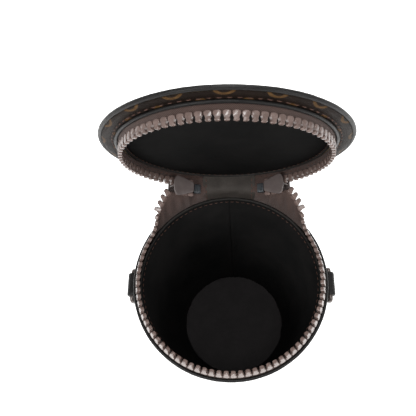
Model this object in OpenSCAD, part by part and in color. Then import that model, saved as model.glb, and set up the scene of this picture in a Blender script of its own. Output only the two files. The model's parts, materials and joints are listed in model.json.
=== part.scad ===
/* [Cup] */
// Radius of the canvas wall at the rim
rim_r = 57; // [50:0.5:62]
// Radius of the canvas wall at the base
base_r = 41; // [38:0.5:48]
// Height of the rim piping's centre above the table
rim_z = 132; // [110:1:150]
// Thickness of the coated canvas
canvas_t = 1.2; // [0.8:0.1:1.6]
// Thickness of the stiffening board behind the canvas
board_t = 1; // [0.8:0.1:1.2]
// Thickness of the lining
lining_t = 0.7; // [0.5:0.1:0.9]

/* [Piping] */
// Radius of the rim piping
piping_r = 1; // [0.9:0.05:1.2]
// Radius of the base piping
base_piping_r = 1.5; // [1.2:0.1:1.8]
// Radius of the lid's edge piping
edge_piping_r = 1.2; // [1:0.1:1.4]
// Radius of the thin binding on the lining's edge
binding_r = 0.75; // [0.6:0.05:0.8]
// Radius of the cord inside each piping
core_r = 0.5; // [0.4:0.05:0.6]

/* [Zip] */
// Radius of the ring of teeth
chain_r = 54.6; // [54.6:0.1:54.9]
// Width of zip tape that shows between the piping and the teeth
tape_show = 3; // [2.6:0.1:3.3]
// Thickness of the zip tape
tape_t = 0.5; // [0.4:0.1:0.6]
// Length of a tooth from the tape to its tip
tooth_len = 3.5; // [3:0.1:3.8]
// Thickness of a tooth across the tape
tooth_t = 2; // [1.6:0.1:2.2]
// Teeth on each side of the zip
teeth = 74; // [70:2:76]
// Gap between the tips of the two rows when the lid is shut
row_gap = 1.2; // [1.2:0.1:1.6]

/* [Lid] */
// Angle that the lid stands open at
lid_open = 80; // [0:1:110]
// Radius of the centre of the lid's edge piping
edge_r = 64.3; // [62.3:0.5:65.8]
// Height of the edge piping's centre above the lid's rim piping
edge_h = 2.8; // [2.8:0.1:3.4]
// Width of the leather hinge patch
patch_w = 32; // [28:1:34]
// Thickness of the leather hinge patch
patch_t = 1.2; // [1:0.1:1.4]

/* [Sliders and pulls] */
// Length of a slider along the zip
slider_len = 14; // [12:0.5:14]
// Width of a slider at its leading end
slider_w = 12.4; // [9:0.2:12.6]
// Width of a slider at its hinge end
slider_tail_w = 6.4; // [5.6:0.2:6.6]
// Length of the leather on each pull
pull_len = 26; // [20:1:32]
// Width of the leather on each pull
pull_w = 8; // [6:0.5:9]

/* [Strap tabs] */
// Width of a strap tab
tab_w = 14; // [12:1:15]
// Height of a strap tab on the wall
tab_h = 22; // [18:1:28]
// Radius of the D-ring's wire
ring_wire_r = 1.5; // [1.2:0.1:1.6]
// Radius of the D-ring's bow
ring_bow_r = 9.2; // [9.2:0.1:10]
// Length of the straight legs between the D-ring's bar and its bow
ring_leg = 3; // [1:0.5:5]

/* [Hidden] */
$fn = 96;

// Colours
canvas_col = [0.20, 0.13, 0.09];
leather_col = [0.07, 0.065, 0.065];
lining_col = [0.05, 0.045, 0.045];
board_col = [0.55, 0.48, 0.38];
tape_col = [0.25, 0.17, 0.15];
tooth_col = [0.45, 0.36, 0.34];
slider_col = [0.36, 0.31, 0.30];
stop_col = [0.33, 0.36, 0.39];
ring_col = [0.30, 0.28, 0.27];

// Cup levels
wall_top = rim_z - 1;
wall_bottom = 2 * base_piping_r;
wall_t = canvas_t + board_t + lining_t;
floor_z = 3.2;
rim_piping_c = wall_radius(wall_top) - 0.4 * canvas_t;
piping_z = wall_top + 0.7;

// Zip levels: the lid's own heights are measured from the zip's middle plane
tooth_root = piping_r + tape_show;
zip_half = tooth_root + tooth_len + row_gap / 2;
zip_z = rim_z + zip_half;
tape_start = 17.5;
tooth_start = 25.5;
tooth_step = (360 - 2 * tooth_start) / (teeth - 1);

// Hinge and lid
hinge_y = 55;
patch_gap = 1.2;
patch_angle = 2 * asin(patch_w / 2 / chain_r);
binding_c = chain_r - patch_t / 2 - binding_r - 0.15;
lid_seat = zip_half + 1;
edge_z = zip_half + edge_h;
panel_z = edge_z + 0.1;
lid_board_t = 1.2;

// Sliders: the plates are slices of two rings on either side of the teeth
plate_gap = 2.9;
plate_t = 1.1;
slider_half = slider_len / 2 / chain_r * 180 / PI;
slider_park = 31.5;
stop_half = 2.2;
stop_park = 20.8;
bridge_r = chain_r + plate_gap + plate_t + 3.4;
bridge_bar_r = 0.9;
eye_hole_r = 1.9;
eye_r = 3;
eye_drop = 0.4;
crimp_at = 7;
// The pulls hang plumb from the bridges when the lid stands open, and swing about a level line
bridge_from_hinge = cos(slider_park) * bridge_r - hinge_y;
pull_x = sin(slider_park) * bridge_r;
pull_y = hinge_y + bridge_from_hinge * cos(lid_open);
pull_z = zip_z - bridge_from_hinge * sin(lid_open);
pull_yaw = atan(tan(slider_park) * cos(lid_open));

// Strap tabs
ring_x = wall_radius(rim_z - 9) + 3.45;
ring_z = rim_z - 9;
tab_t = 1.6;
loop_r = 3.2;
loop_hole_r = 1.8;

function wall_radius(z) = base_r + (rim_r - base_r) * z / rim_z;

// One layer of the tapered wall, set in from the outside by "inset"
module wall_layer(inset, thick, z0, z1, turn = 360, from = 0) {
    rotate_extrude(angle = turn, start = from)
        polygon([
            [wall_radius(z0) - inset - thick, z0],
            [wall_radius(z0) - inset, z0],
            [wall_radius(z1) - inset, z1],
            [wall_radius(z1) - inset - thick, z1]
        ]);
}

// A ring of rectangular section
module band(r_in, r_out, z0, z1, turn = 360, from = 0) {
    rotate_extrude(angle = turn, start = from)
        translate([r_in, z0])
            square([r_out - r_in, z1 - z0]);
}

// A piping bead whose seam side is cut flat at height "flat", hollow for its cord
module piping(centre_r, z, r, flat, flat_above = false) {
    rotate_extrude()
        difference() {
            translate([centre_r, z])
                circle(r, $fn = 48);
            translate([centre_r - 2 * r, flat_above ? flat : flat - 4 * r])
                square(4 * r);
            translate([centre_r, z])
                circle(core_r, $fn = 32);
        }
}

module cord(centre_r, z) {
    rotate_extrude()
        translate([centre_r, z])
            circle(core_r, $fn = 32);
}

// Places something in the lid, which turns back about the hinge line
module in_lid() {
    translate([0, hinge_y, zip_z])
        rotate([-lid_open, 0, 0])
            translate([0, -hinge_y, 0])
                children();
}

// Turns something from the back of the ring round to one side: side is 1 or -1
module at_park(side, angle) {
    rotate([0, 0, 90 - side * angle])
        children();
}

module body_canvas() {
    color(canvas_col)
        wall_layer(0, canvas_t, wall_bottom, wall_top);
}

module body_board() {
    color(board_col)
        wall_layer(canvas_t, board_t, floor_z, wall_top);
}

module body_lining() {
    color(lining_col)
        wall_layer(canvas_t + board_t, lining_t, floor_z, wall_top);
}

// Leather strip that covers the closing seam of the wall at the back
module back_strip() {
    color(leather_col)
        wall_layer(-1, 1, wall_bottom + 0.6, wall_top - 1.2, 14, 83);
}

module base_panel() {
    color(leather_col)
        cylinder(r = base_r - 2.2, h = canvas_t);
}

module base_board() {
    color(board_col)
        translate([0, 0, canvas_t])
            cylinder(r = base_r - 2.5, h = floor_z - canvas_t);
}

module floor_pad() {
    color(lining_col)
        translate([0, 0, floor_z])
            cylinder(r = wall_radius(floor_z) - wall_t - 0.1, h = 0.8);
}

module base_piping() {
    color(leather_col)
        piping(base_r - 0.6, base_piping_r, base_piping_r, wall_bottom - 0.05, true);
}

module base_piping_cord() {
    color(board_col)
        cord(base_r - 0.6, base_piping_r);
}

module rim_piping() {
    color(leather_col)
        piping(rim_piping_c, piping_z, piping_r, wall_top);
}

module rim_piping_cord() {
    color(board_col)
        cord(rim_piping_c, piping_z);
}

module rim_binding() {
    color(leather_col)
        rotate_extrude()
            translate([binding_c, wall_top + 0.3])
                circle(binding_r, $fn = 32);
}

// Zip tape between the wall and the teeth, drawn on the cup
module zip_tape() {
    color(tape_col)
        band(chain_r - tape_t / 2, chain_r + tape_t / 2, wall_top, rim_z + tooth_root,
            360 - 2 * tape_start, 90 + tape_start);
}

// Outline of one moulded tooth: a broad foot, a neck and a flared head
module tooth_outline() {
    foot = 1.7;
    neck = 0.85;
    head = 1.25;
    half = [
        [foot, 0], [foot, 0.7], [neck, 1.5], [neck, 2], [head, 2.5],
        [head, tooth_len - 0.35], [head - 0.4, tooth_len]
    ];
    polygon(concat(half, [for (i = [len(half) - 1:-1:0]) [-half[i][0], half[i][1]]]));
}

// A row of teeth whose feet stand on the tape
module tooth_row() {
    color(tooth_col)
        for (i = [0:teeth - 1])
            rotate([0, 0, 90 + tooth_start + i * tooth_step])
                translate([chain_r - tooth_t / 2, 0, rim_z + tooth_root])
                    rotate([90, 0, 90])
                        linear_extrude(tooth_t)
                            tooth_outline();
}

// Mirrors a cup-side zip piece onto the lid
module as_lid_side() {
    in_lid()
        mirror([0, 0, 1])
            translate([0, 0, -zip_z])
                children();
}

module cup_zip_tape() {
    zip_tape();
}

module cup_zip_teeth() {
    tooth_row();
}

module lid_zip_tape() {
    as_lid_side()
        zip_tape();
}

module lid_zip_teeth() {
    as_lid_side()
        tooth_row();
}

// Half of the hinge patch, from the wall's edge nearly to the hinge line
module patch_half() {
    color(leather_col)
        band(chain_r - patch_t / 2, chain_r + patch_t / 2 - 0.15, wall_top + 0.1, zip_z - patch_gap,
            patch_angle, 90 - patch_angle / 2);
}

module hinge_lower() {
    patch_half();
}

module hinge_upper() {
    as_lid_side()
        patch_half();
}

// Canvas flange that runs from the zip out to the lid's edge
module lid_band() {
    color(canvas_col)
        in_lid()
            rotate_extrude()
                polygon([
                    [rim_r - canvas_t, lid_seat],
                    [rim_r, lid_seat],
                    [edge_r - 1.5, lid_seat + 0.1],
                    [edge_r - 0.6, lid_seat + 0.5],
                    [edge_r - 1.15, panel_z - lid_board_t],
                    [rim_r - canvas_t, panel_z - lid_board_t]
                ]);
}

module lid_top_panel() {
    color(canvas_col)
        in_lid()
            translate([0, 0, panel_z])
                cylinder(r = edge_r - edge_piping_r - 0.1, h = canvas_t);
}

module lid_board() {
    color(board_col)
        in_lid()
            translate([0, 0, panel_z - lid_board_t])
                cylinder(r = edge_r - edge_piping_r - 1.3, h = lid_board_t);
}

module lid_lining() {
    color(lining_col)
        in_lid()
            translate([0, 0, lid_seat])
                cylinder(r = binding_c - binding_r - 0.05, h = panel_z - lid_board_t - lid_seat);
}

module lid_edge_piping() {
    color(leather_col)
        in_lid()
            rotate_extrude()
                translate([edge_r, edge_z])
                    difference() {
                        circle(edge_piping_r, $fn = 48);
                        circle(core_r, $fn = 32);
                    }
}

module lid_edge_piping_cord() {
    color(board_col)
        in_lid()
            cord(edge_r, edge_z);
}

module lid_rim_piping() {
    as_lid_side()
        rim_piping();
}

module lid_rim_piping_cord() {
    as_lid_side()
        rim_piping_cord();
}

module lid_binding() {
    as_lid_side()
        rim_binding();
}

// Ribbed metal stop that joins the two tapes beside the hinge patch
module end_stop(side) {
    ribs = 4;
    rib_step = 2 * stop_half / ribs;
    color(stop_col)
        in_lid()
            at_park(side, stop_park) {
                band(chain_r - 1, chain_r + 1, -2.7, 2.7, 2 * stop_half, -stop_half);
                for (i = [0:ribs - 1])
                    band(chain_r - 1.4, chain_r + 1.4, -3, 3, rib_step * 0.55,
                        -stop_half + rib_step * (i + 0.22));
            }
}

module left_end_stop() {
    end_stop(-1);
}

module right_end_stop() {
    end_stop(1);
}

// Shield outline of a slider plate: wide at the leading end, narrow at the hinge end
module slider_outline() {
    front = slider_len / 2;
    wide = slider_w / 2;
    tail = slider_tail_w / 2;
    polygon([
        [front, -wide + 3.6],
        [front, wide - 3.6],
        [front - 0.9, wide - 1.3],
        [front - 2.4, wide],
        [front - 4.6, wide - 0.3],
        [-front, tail],
        [-front, -tail],
        [front - 4.6, -wide + 0.3],
        [front - 2.4, -wide],
        [front - 0.9, -wide + 1.3]
    ]);
}

// Zip slider: two curved plates, the web between the rows and the bridge for the pull
module slider(side) {
    reach = slider_w;
    web_h = row_gap - 0.5;
    leg_at = 5;
    color(slider_col)
        in_lid()
            at_park(side, slider_park) {
                intersection() {
                    union() {
                        band(chain_r - plate_gap - plate_t, chain_r - plate_gap, -reach, reach, 30, -15);
                        band(chain_r + plate_gap, chain_r + plate_gap + plate_t, -reach, reach, 30, -15);
                    }
                    translate([chain_r - 8, 0, 0])
                        rotate([90, 0, 90])
                            linear_extrude(16)
                                mirror([side > 0 ? 1 : 0, 0, 0])
                                    slider_outline();
                }
                band(chain_r - plate_gap - plate_t / 2, chain_r + plate_gap + plate_t / 2,
                    -web_h / 2, web_h / 2, 3, side > 0 ? -slider_half + 0.6 : slider_half - 3.6);
                for (end = [-1, 1])
                    translate([chain_r + plate_gap + 0.4, end * leg_at - 0.9, -1.2])
                        cube([bridge_r + bridge_bar_r - chain_r - plate_gap - 0.4, 1.8, 2.4]);
                translate([bridge_r, -leg_at, 0])
                    rotate([-90, 0, 0])
                        cylinder(r = bridge_bar_r, h = 2 * leg_at, $fn = 32);
            }
}

module left_slider() {
    slider(-1);
}

module right_slider() {
    slider(1);
}

// Places something on a slider's bridge, with +X down along the hanging pull
module on_bridge(side) {
    translate([side * pull_x, pull_y, pull_z])
        rotate([0, 0, 90 - side * pull_yaw])
            rotate([0, 90, 0])
                children();
}

// Metal link of a pull: an eye round the bridge, a shank and a crimp for the leather
module pull_link(side) {
    color(slider_col)
        on_bridge(side)
            difference() {
                union() {
                    translate([eye_drop, 0.6, 0])
                        rotate([90, 0, 0])
                            cylinder(r = eye_r, h = 1.2, $fn = 48);
                    translate([eye_drop + eye_hole_r + 0.4, -0.8, -1])
                        cube([crimp_at - 2, 1.6, 2]);
                    translate([crimp_at, -pull_w / 2 - 0.6, -1.8])
                        cube([3.6, pull_w + 1.2, 3.6]);
                }
                translate([eye_drop, 2, 0])
                    rotate([90, 0, 0])
                        cylinder(r = eye_hole_r, h = 4, $fn = 48);
                translate([crimp_at + 1.2, -pull_w / 2, -1.2])
                    cube([4, pull_w, 2.4]);
            }
}

module left_pull_link() {
    pull_link(-1);
}

module right_pull_link() {
    pull_link(1);
}

// Leather part of a pull, with a rounded end
module pull_tab(side) {
    color(leather_col)
        on_bridge(side)
            translate([crimp_at + 1.2, 0, -1.2])
                linear_extrude(2.4) {
                    translate([0, -pull_w / 2])
                        square([pull_len, pull_w]);
                    translate([pull_len, 0])
                        circle(pull_w / 2);
                }
}

module left_pull_tab() {
    pull_tab(-1);
}

module right_pull_tab() {
    pull_tab(1);
}

// Leather tab sewn to the wall, with a loop at its top that holds the D-ring's bar
module strap_tab(side) {
    tab_turn = tab_w / rim_r * 180 / PI;
    color(leather_col)
        rotate([0, 0, side > 0 ? 0 : 180])
            difference() {
                union() {
                    wall_layer(-tab_t, tab_t, ring_z - tab_h, ring_z + 1, tab_turn, -tab_turn / 2);
                    translate([ring_x, tab_w / 2, ring_z])
                        rotate([90, 0, 0])
                            cylinder(r = loop_r, h = tab_w, $fn = 64);
                }
                translate([ring_x, tab_w, ring_z])
                    rotate([90, 0, 0])
                        cylinder(r = loop_hole_r, h = 2 * tab_w, $fn = 64);
            }
}

module left_strap_tab() {
    strap_tab(-1);
}

module right_strap_tab() {
    strap_tab(1);
}

// D-ring that hangs from the strap tab by its straight bar
module d_ring(side) {
    color(ring_col)
        translate([side * ring_x, 0, ring_z]) {
            translate([0, 0, -ring_leg])
                rotate([90, 0, 90])
                    rotate_extrude(angle = 180, start = 180)
                        translate([ring_bow_r, 0])
                            circle(ring_wire_r, $fn = 32);
            translate([0, -ring_bow_r, 0])
                rotate([-90, 0, 0])
                    cylinder(r = ring_wire_r, h = 2 * ring_bow_r, $fn = 32);
            for (end = [-1, 1])
                translate([0, end * ring_bow_r, 0]) {
                    sphere(ring_wire_r, $fn = 32);
                    translate([0, 0, -ring_leg])
                        cylinder(r = ring_wire_r, h = ring_leg, $fn = 32);
                }
        }
}

module left_d_ring() {
    d_ring(-1);
}

module right_d_ring() {
    d_ring(1);
}

body_canvas();
body_board();
body_lining();
back_strip();
base_panel();
base_board();
floor_pad();
base_piping();
base_piping_cord();
rim_piping();
rim_piping_cord();
rim_binding();
cup_zip_tape();
cup_zip_teeth();
hinge_lower();
hinge_upper();
lid_band();
lid_top_panel();
lid_board();
lid_lining();
lid_edge_piping();
lid_edge_piping_cord();
lid_rim_piping();
lid_rim_piping_cord();
lid_binding();
lid_zip_tape();
lid_zip_teeth();
left_end_stop();
right_end_stop();
left_slider();
right_slider();
left_pull_link();
right_pull_link();
left_pull_tab();
right_pull_tab();
left_strap_tab();
right_strap_tab();
left_d_ring();
right_d_ring();
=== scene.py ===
import json
import math
import random

import bmesh
import bpy
import numpy as np
from mathutils import Matrix, Vector, noise


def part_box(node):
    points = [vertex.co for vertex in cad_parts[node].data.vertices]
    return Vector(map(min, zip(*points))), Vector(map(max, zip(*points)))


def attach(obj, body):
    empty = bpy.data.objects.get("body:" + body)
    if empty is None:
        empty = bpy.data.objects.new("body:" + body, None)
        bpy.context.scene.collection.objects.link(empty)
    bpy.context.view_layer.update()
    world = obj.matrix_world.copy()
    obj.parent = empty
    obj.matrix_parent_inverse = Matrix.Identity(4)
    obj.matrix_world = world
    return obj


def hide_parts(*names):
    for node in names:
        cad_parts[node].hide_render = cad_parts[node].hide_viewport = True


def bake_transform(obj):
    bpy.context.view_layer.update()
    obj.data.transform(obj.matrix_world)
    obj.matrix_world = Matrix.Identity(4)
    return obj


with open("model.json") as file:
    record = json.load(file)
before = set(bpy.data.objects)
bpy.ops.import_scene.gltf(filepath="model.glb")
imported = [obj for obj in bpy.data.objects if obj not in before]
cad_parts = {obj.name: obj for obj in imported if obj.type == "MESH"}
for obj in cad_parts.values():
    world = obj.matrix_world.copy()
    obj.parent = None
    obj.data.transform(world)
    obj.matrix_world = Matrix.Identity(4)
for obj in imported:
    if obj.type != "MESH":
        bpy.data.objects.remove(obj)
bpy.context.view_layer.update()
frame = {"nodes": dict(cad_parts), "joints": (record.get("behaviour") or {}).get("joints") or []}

# ---------------------------------------------------------------- places, in metres
MM = 0.001
JOINTS = {j["name"]: j for j in frame["joints"]}
LID_OPEN = -math.radians(JOINTS["lid_hinge"]["range_deg"][0])
HINGE_Y, ZIP_Z = JOINTS["lid_hinge"]["pos_m"][1:]
IN_LID = (
    Matrix.Translation((0, HINGE_Y, ZIP_Z))
    @ Matrix.Rotation(-LID_OPEN, 4, "X")
    @ Matrix.Translation((0, -HINGE_Y, 0))
)
WALL_LOW, WALL_TOP = (c.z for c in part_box("body_canvas"))
RIM_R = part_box("body_canvas")[1].x
BASE_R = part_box("base_panel")[1].x + 2.2 * MM
WALL_T = 2.9 * MM  # canvas, board and lining together
RIM_Z = WALL_TOP + 1 * MM
ZIP_HALF = ZIP_Z - RIM_Z
CHAIN_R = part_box("cup_zip_tape")[1].x - 0.25 * MM
TOOTH_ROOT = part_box("cup_zip_tape")[1].z
PIPING_R = 1.0 * MM
PIPING_Z = WALL_TOP + 0.7 * MM
PIPING_C = RIM_R - 0.48 * MM
BINDING_R = 0.75 * MM
BINDING_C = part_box("rim_binding")[1].x - BINDING_R
EDGE_R, EDGE_BEAD = 64.3 * MM, 1.2 * MM
LID_SEAT = ZIP_HALF + 1 * MM
EDGE_Z = ZIP_HALF + 2.8 * MM
PANEL_Z = EDGE_Z + 0.1 * MM
FLOOR_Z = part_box("floor_pad")[0].z
SEAM_IN = 3.4 * MM  # from the wall's edges to its rows of stitches
BASE_SEAM_IN, TOP_SEAM_IN = 3.6 * MM, 4.2 * MM  # the same on the base panel and the lid's top
STRIP_SEAM, PATCH_SEAM = 0.78, 0.87  # the same on the back strip and the patch, as a share of half the width
CENTRE_HOLE, LID_HOLE = 0.6 * MM, 0.8 * MM  # where a turned disc starts, in the cup and in the lid
SLIDER_PARK, STOP_PARK, TOOTH_START = 31.5, 20.8, 25.5
RING_WIRE = 1.5 * MM
RING_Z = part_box("right_d_ring")[1].z - RING_WIRE
RING_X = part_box("right_d_ring")[1].x - RING_WIRE


def unit(degrees):
    """Cosine and sine of an angle in degrees"""
    return math.cos(math.radians(degrees)), math.sin(math.radians(degrees))


def wall_radius(z):
    """The outer radius of the cup's tapered wall at height z"""
    return BASE_R + (RIM_R - BASE_R) * z / WALL_TOP


def bell(x, width):
    """1 where x is 0, falling away on both sides over the width"""
    return math.exp(-((x / width) ** 2))


def ripple(p, size, amount, seed=0.0):
    """A smooth, repeatable unevenness at point p: size and amount in metres"""
    return amount * noise.noise(Vector((p[0] / size + seed, p[1] / size, p[2] / size)))


# ---------------------------------------------------------------- materials
class Look:
    """One procedural material. Its textures are laid out in millimetres."""

    def __init__(self, name, use_uv=False, **fixed):
        self.material = bpy.data.materials.new(name)
        self.material.use_nodes = True
        self.tree = self.material.node_tree
        self.shader = self.tree.nodes["Principled BSDF"]
        for socket, value in fixed.items():
            self.shader.inputs[socket.replace("_", " ")].default_value = value
        place = self.tree.nodes.new("ShaderNodeTexCoord")
        self.mm = self.vector("SCALE", place.outputs["UV" if use_uv else "Object"], scale=1000)

    def link(self, value, socket):
        if isinstance(value, (int, float, tuple)):
            socket.default_value = value
        else:
            self.tree.links.new(value, socket)

    def vector(self, operation, a, b=None, scale=None):
        n = self.tree.nodes.new("ShaderNodeVectorMath")
        n.operation = operation
        self.link(a, n.inputs[0])
        if b is not None:
            self.link(b, n.inputs[1])
        if scale is not None:
            n.inputs["Scale"].default_value = scale
        return n.outputs["Value" if operation == "LENGTH" else "Vector"]

    def math(self, operation, a, b=0.0):
        n = self.tree.nodes.new("ShaderNodeMath")
        n.operation = operation
        self.link(a, n.inputs[0])
        self.link(b, n.inputs[1])
        return n.outputs[0]

    def noise(self, scale, detail=3.0, rough=0.55, vector=None):
        n = self.tree.nodes.new("ShaderNodeTexNoise")
        n.inputs["Scale"].default_value = scale
        n.inputs["Detail"].default_value = detail
        n.inputs["Roughness"].default_value = rough
        self.link(vector or self.mm, n.inputs["Vector"])
        return n.outputs["Fac"]

    def cells(self, scale, feature="F1", vector=None):
        n = self.tree.nodes.new("ShaderNodeTexVoronoi")
        n.feature = feature
        n.inputs["Scale"].default_value = scale
        self.link(vector or self.mm, n.inputs["Vector"])
        return n.outputs["Distance"]

    def bands(self, scale, direction, vector=None, distortion=0.0):
        n = self.tree.nodes.new("ShaderNodeTexWave")
        n.bands_direction = direction
        n.inputs["Scale"].default_value = scale
        n.inputs["Distortion"].default_value = distortion
        self.link(vector or self.mm, n.inputs["Vector"])
        return n.outputs["Fac"]

    def remap(self, value, low, high, to_low=0.0, to_high=1.0):
        n = self.tree.nodes.new("ShaderNodeMapRange")
        n.interpolation_type = "SMOOTHSTEP"
        self.link(value, n.inputs["Value"])
        for socket, number in (("From Min", low), ("From Max", high), ("To Min", to_low), ("To Max", to_high)):
            n.inputs[socket].default_value = number
        return n.outputs["Result"]

    def mix(self, factor, a, b):
        n = self.tree.nodes.new("ShaderNodeMix")
        n.data_type = "RGBA"
        self.link(factor, n.inputs["Factor"])
        for value, socket in ((a, n.inputs[6]), (b, n.inputs[7])):
            self.link((*value, 1.0) if isinstance(value, tuple) else value, socket)
        return n.outputs[2]

    def bump(self, height, depth, strength=0.6, normal=None):
        n = self.tree.nodes.new("ShaderNodeBump")
        n.inputs["Strength"].default_value = strength
        n.inputs["Distance"].default_value = depth * MM
        self.link(height, n.inputs["Height"])
        if normal is not None:
            self.link(normal, n.inputs["Normal"])
        return n.outputs["Normal"]

    def done(self, colour, roughness, normal):
        self.link(colour, self.shader.inputs["Base Color"])
        self.link(roughness, self.shader.inputs["Roughness"])
        self.link(normal, self.shader.inputs["Normal"])
        return self.material


def leather_look(name, dark, light, rough=(0.34, 0.5), grain=1.5, depth=0.12, coat=0.12, use_uv=False):
    k = Look(name, use_uv, Coat_Weight=coat, Coat_Roughness=0.3, Specular_IOR_Level=0.18)
    pores = k.cells(grain, "DISTANCE_TO_EDGE")
    creases = k.remap(pores, 0.0, 0.22)
    patches = k.noise(0.12, 4.0)
    fine = k.noise(6.0, 2.0)
    colour = k.mix(k.remap(patches, 0.3, 0.7), dark, light)
    # Darker along the grain's creases, down to half the dark tone: painted shade in the hollows that the bump also
    # makes.
    colour = k.mix(k.remap(pores, 0.0, 0.12, 0.45, 0.0), colour, tuple(c * 0.5 for c in dark))
    height = k.math("ADD", creases, k.math("MULTIPLY", fine, 0.35))
    return k.done(colour, k.remap(patches, 0.25, 0.75, *rough), k.bump(height, depth))


def canvas_look():
    """Satin coated canvas, printed with staggered rings and dots"""
    k = Look("coated_canvas", True, Specular_IOR_Level=0.05)
    cell = 21.0

    def from_centres(shift):
        moved = k.vector("ADD", k.vector("SCALE", k.mm, scale=1 / cell), (shift, shift, 0.0))
        centred = k.vector("SUBTRACT", k.vector("FRACTION", moved), (0.5, 0.5, 0.0))
        flat = k.vector("MULTIPLY", centred, (1.0, 1.0, 0.0))
        return k.math("MULTIPLY", k.vector("LENGTH", flat), cell)

    wear = k.noise(0.9, 4.0, 0.7)
    near, far = from_centres(0.0), from_centres(0.5)
    ring = k.remap(k.math("ABSOLUTE", k.math("SUBTRACT", near, 4.6)), 0.55, 0.8, 1.0, 0.0)
    core = k.remap(near, 1.5, 1.8, 1.0, 0.0)
    dots = k.remap(k.math("ABSOLUTE", k.math("SUBTRACT", far, 1.9)), 0.7, 0.95, 1.0, 0.0)
    print_mask = k.math("MAXIMUM", k.math("MAXIMUM", ring, core), dots)
    print_mask = k.math("MULTIPLY", print_mask, k.remap(wear, 0.25, 0.6, 0.55, 0.95))
    ground = k.mix(k.remap(k.noise(0.08, 3.0), 0.3, 0.7), (0.0090, 0.0056, 0.0042), (0.0145, 0.0090, 0.0066))
    ink = k.mix(k.remap(k.noise(0.3, 2.0), 0.3, 0.7), (0.080, 0.041, 0.015), (0.115, 0.062, 0.023))
    weave = k.math("MULTIPLY", k.bands(1.1, "X"), k.bands(1.1, "Y"))
    pebble = k.remap(k.cells(1.9, "DISTANCE_TO_EDGE"), 0.0, 0.3)
    colour = k.mix(print_mask, ground, ink)
    # Darker in the pebble grain's grooves: painted shade in the hollows that the bump also makes.
    colour = k.mix(k.remap(pebble, 0.0, 0.5, 0.3, 0.0), colour, (0.006, 0.004, 0.003))
    height = k.math("ADD", k.math("MULTIPLY", weave, 0.5), pebble)
    return k.done(colour, k.remap(wear, 0.3, 0.7, 0.36, 0.5), k.bump(height, 0.09))


def lining_look(name, nap_dark, nap_light):
    """Brushed near-black cloth"""
    k = Look(name, False, Sheen_Weight=0.0, Sheen_Roughness=0.4, Specular_IOR_Level=0.05)
    nap = k.noise(3.2, 4.0, 0.7)
    patches = k.noise(0.05, 3.0)
    colour = k.mix(k.remap(patches, 0.3, 0.7), (nap_dark,) * 3, (nap_light, nap_light * 0.94, nap_light * 0.92))
    colour = k.mix(k.remap(nap, 0.45, 0.75, 0.0, 0.5), colour, (nap_light * 1.35, nap_light * 1.27, nap_light * 1.24))
    return k.done(colour, k.remap(patches, 0.2, 0.8, 0.78, 0.95), k.bump(nap, 0.06))


def tape_look():
    """Woven tape: fine ribs across and a twill along it"""
    k = Look("woven_tape", True, Sheen_Weight=0.1, Specular_IOR_Level=0.3)
    flat = k.vector("MULTIPLY", k.mm, (1.0, 1.0, 0.0))
    warp = k.bands(1.25, "X", flat, 0.3)
    weft = k.bands(1.05, "Y", flat, 0.3)
    twill = k.bands(0.75, "DIAGONAL", flat)
    threads = k.math("MULTIPLY", k.math("ADD", warp, weft), k.math("ADD", twill, 0.35))
    colour = k.mix(k.remap(threads, 0.15, 1.6), (0.046, 0.027, 0.0225), (0.138, 0.088, 0.073))
    colour = k.mix(k.remap(k.noise(0.15), 0.3, 0.8, 0.0, 0.35), colour, (0.062, 0.039, 0.033))
    return k.done(colour, k.remap(threads, 0.2, 1.5, 0.85, 0.65), k.bump(threads, 0.12, 0.8))


def hard_look(name, dark, light, rough, coat=0.0, fleck=0.9, metallic=0.0, depth=0.02):
    """Moulded plastic or painted metal with a faint orange peel and rubbed patches"""
    k = Look(name, False, Coat_Weight=coat, Coat_Roughness=0.15, Metallic=metallic)
    patches = k.noise(0.25, 4.0, 0.6)
    peel = k.noise(fleck, 3.0)
    colour = k.mix(k.remap(patches, 0.3, 0.7), dark, light)
    return k.done(colour, k.remap(k.noise(0.6, 3.0), 0.25, 0.75, *rough), k.bump(peel, depth, 0.5))


def thread_look():
    """Waxed thread with its twist"""
    k = Look("thread", False, Specular_IOR_Level=0.4)
    twist = k.bands(2.6, "DIAGONAL", None, 1.0)
    colour = k.mix(k.remap(twist, 0.2, 0.8), (0.060, 0.026, 0.018), (0.130, 0.062, 0.043))
    return k.done(colour, k.remap(twist, 0.0, 1.0, 0.7, 0.5), k.bump(twist, 0.08))


def board_look():
    """Pressed fibre board"""
    k = Look("fibre_board", False, Specular_IOR_Level=0.3)
    fibres = k.noise(1.5, 5.0, 0.7, k.vector("MULTIPLY", k.mm, (0.3, 2.0, 1.0)))
    colour = k.mix(k.remap(fibres, 0.3, 0.7), (0.21, 0.155, 0.10), (0.36, 0.28, 0.19))
    return k.done(colour, k.remap(fibres, 0.3, 0.7, 0.8, 0.95), k.bump(fibres, 0.08))


CANVAS = canvas_look()
BLACK = leather_look("black_leather", (0.0065, 0.0060, 0.0058), (0.0115, 0.0105, 0.0100))
BINDING = leather_look("binding_leather", (0.012, 0.011, 0.010), (0.022, 0.020, 0.018), (0.4, 0.55), 2.2, 0.08, 0.05)
PATCH = leather_look("hinge_leather", (0.043, 0.037, 0.032), (0.065, 0.056, 0.050), (0.5, 0.68), 1.6, 0.10, 0.0, True)
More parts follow.
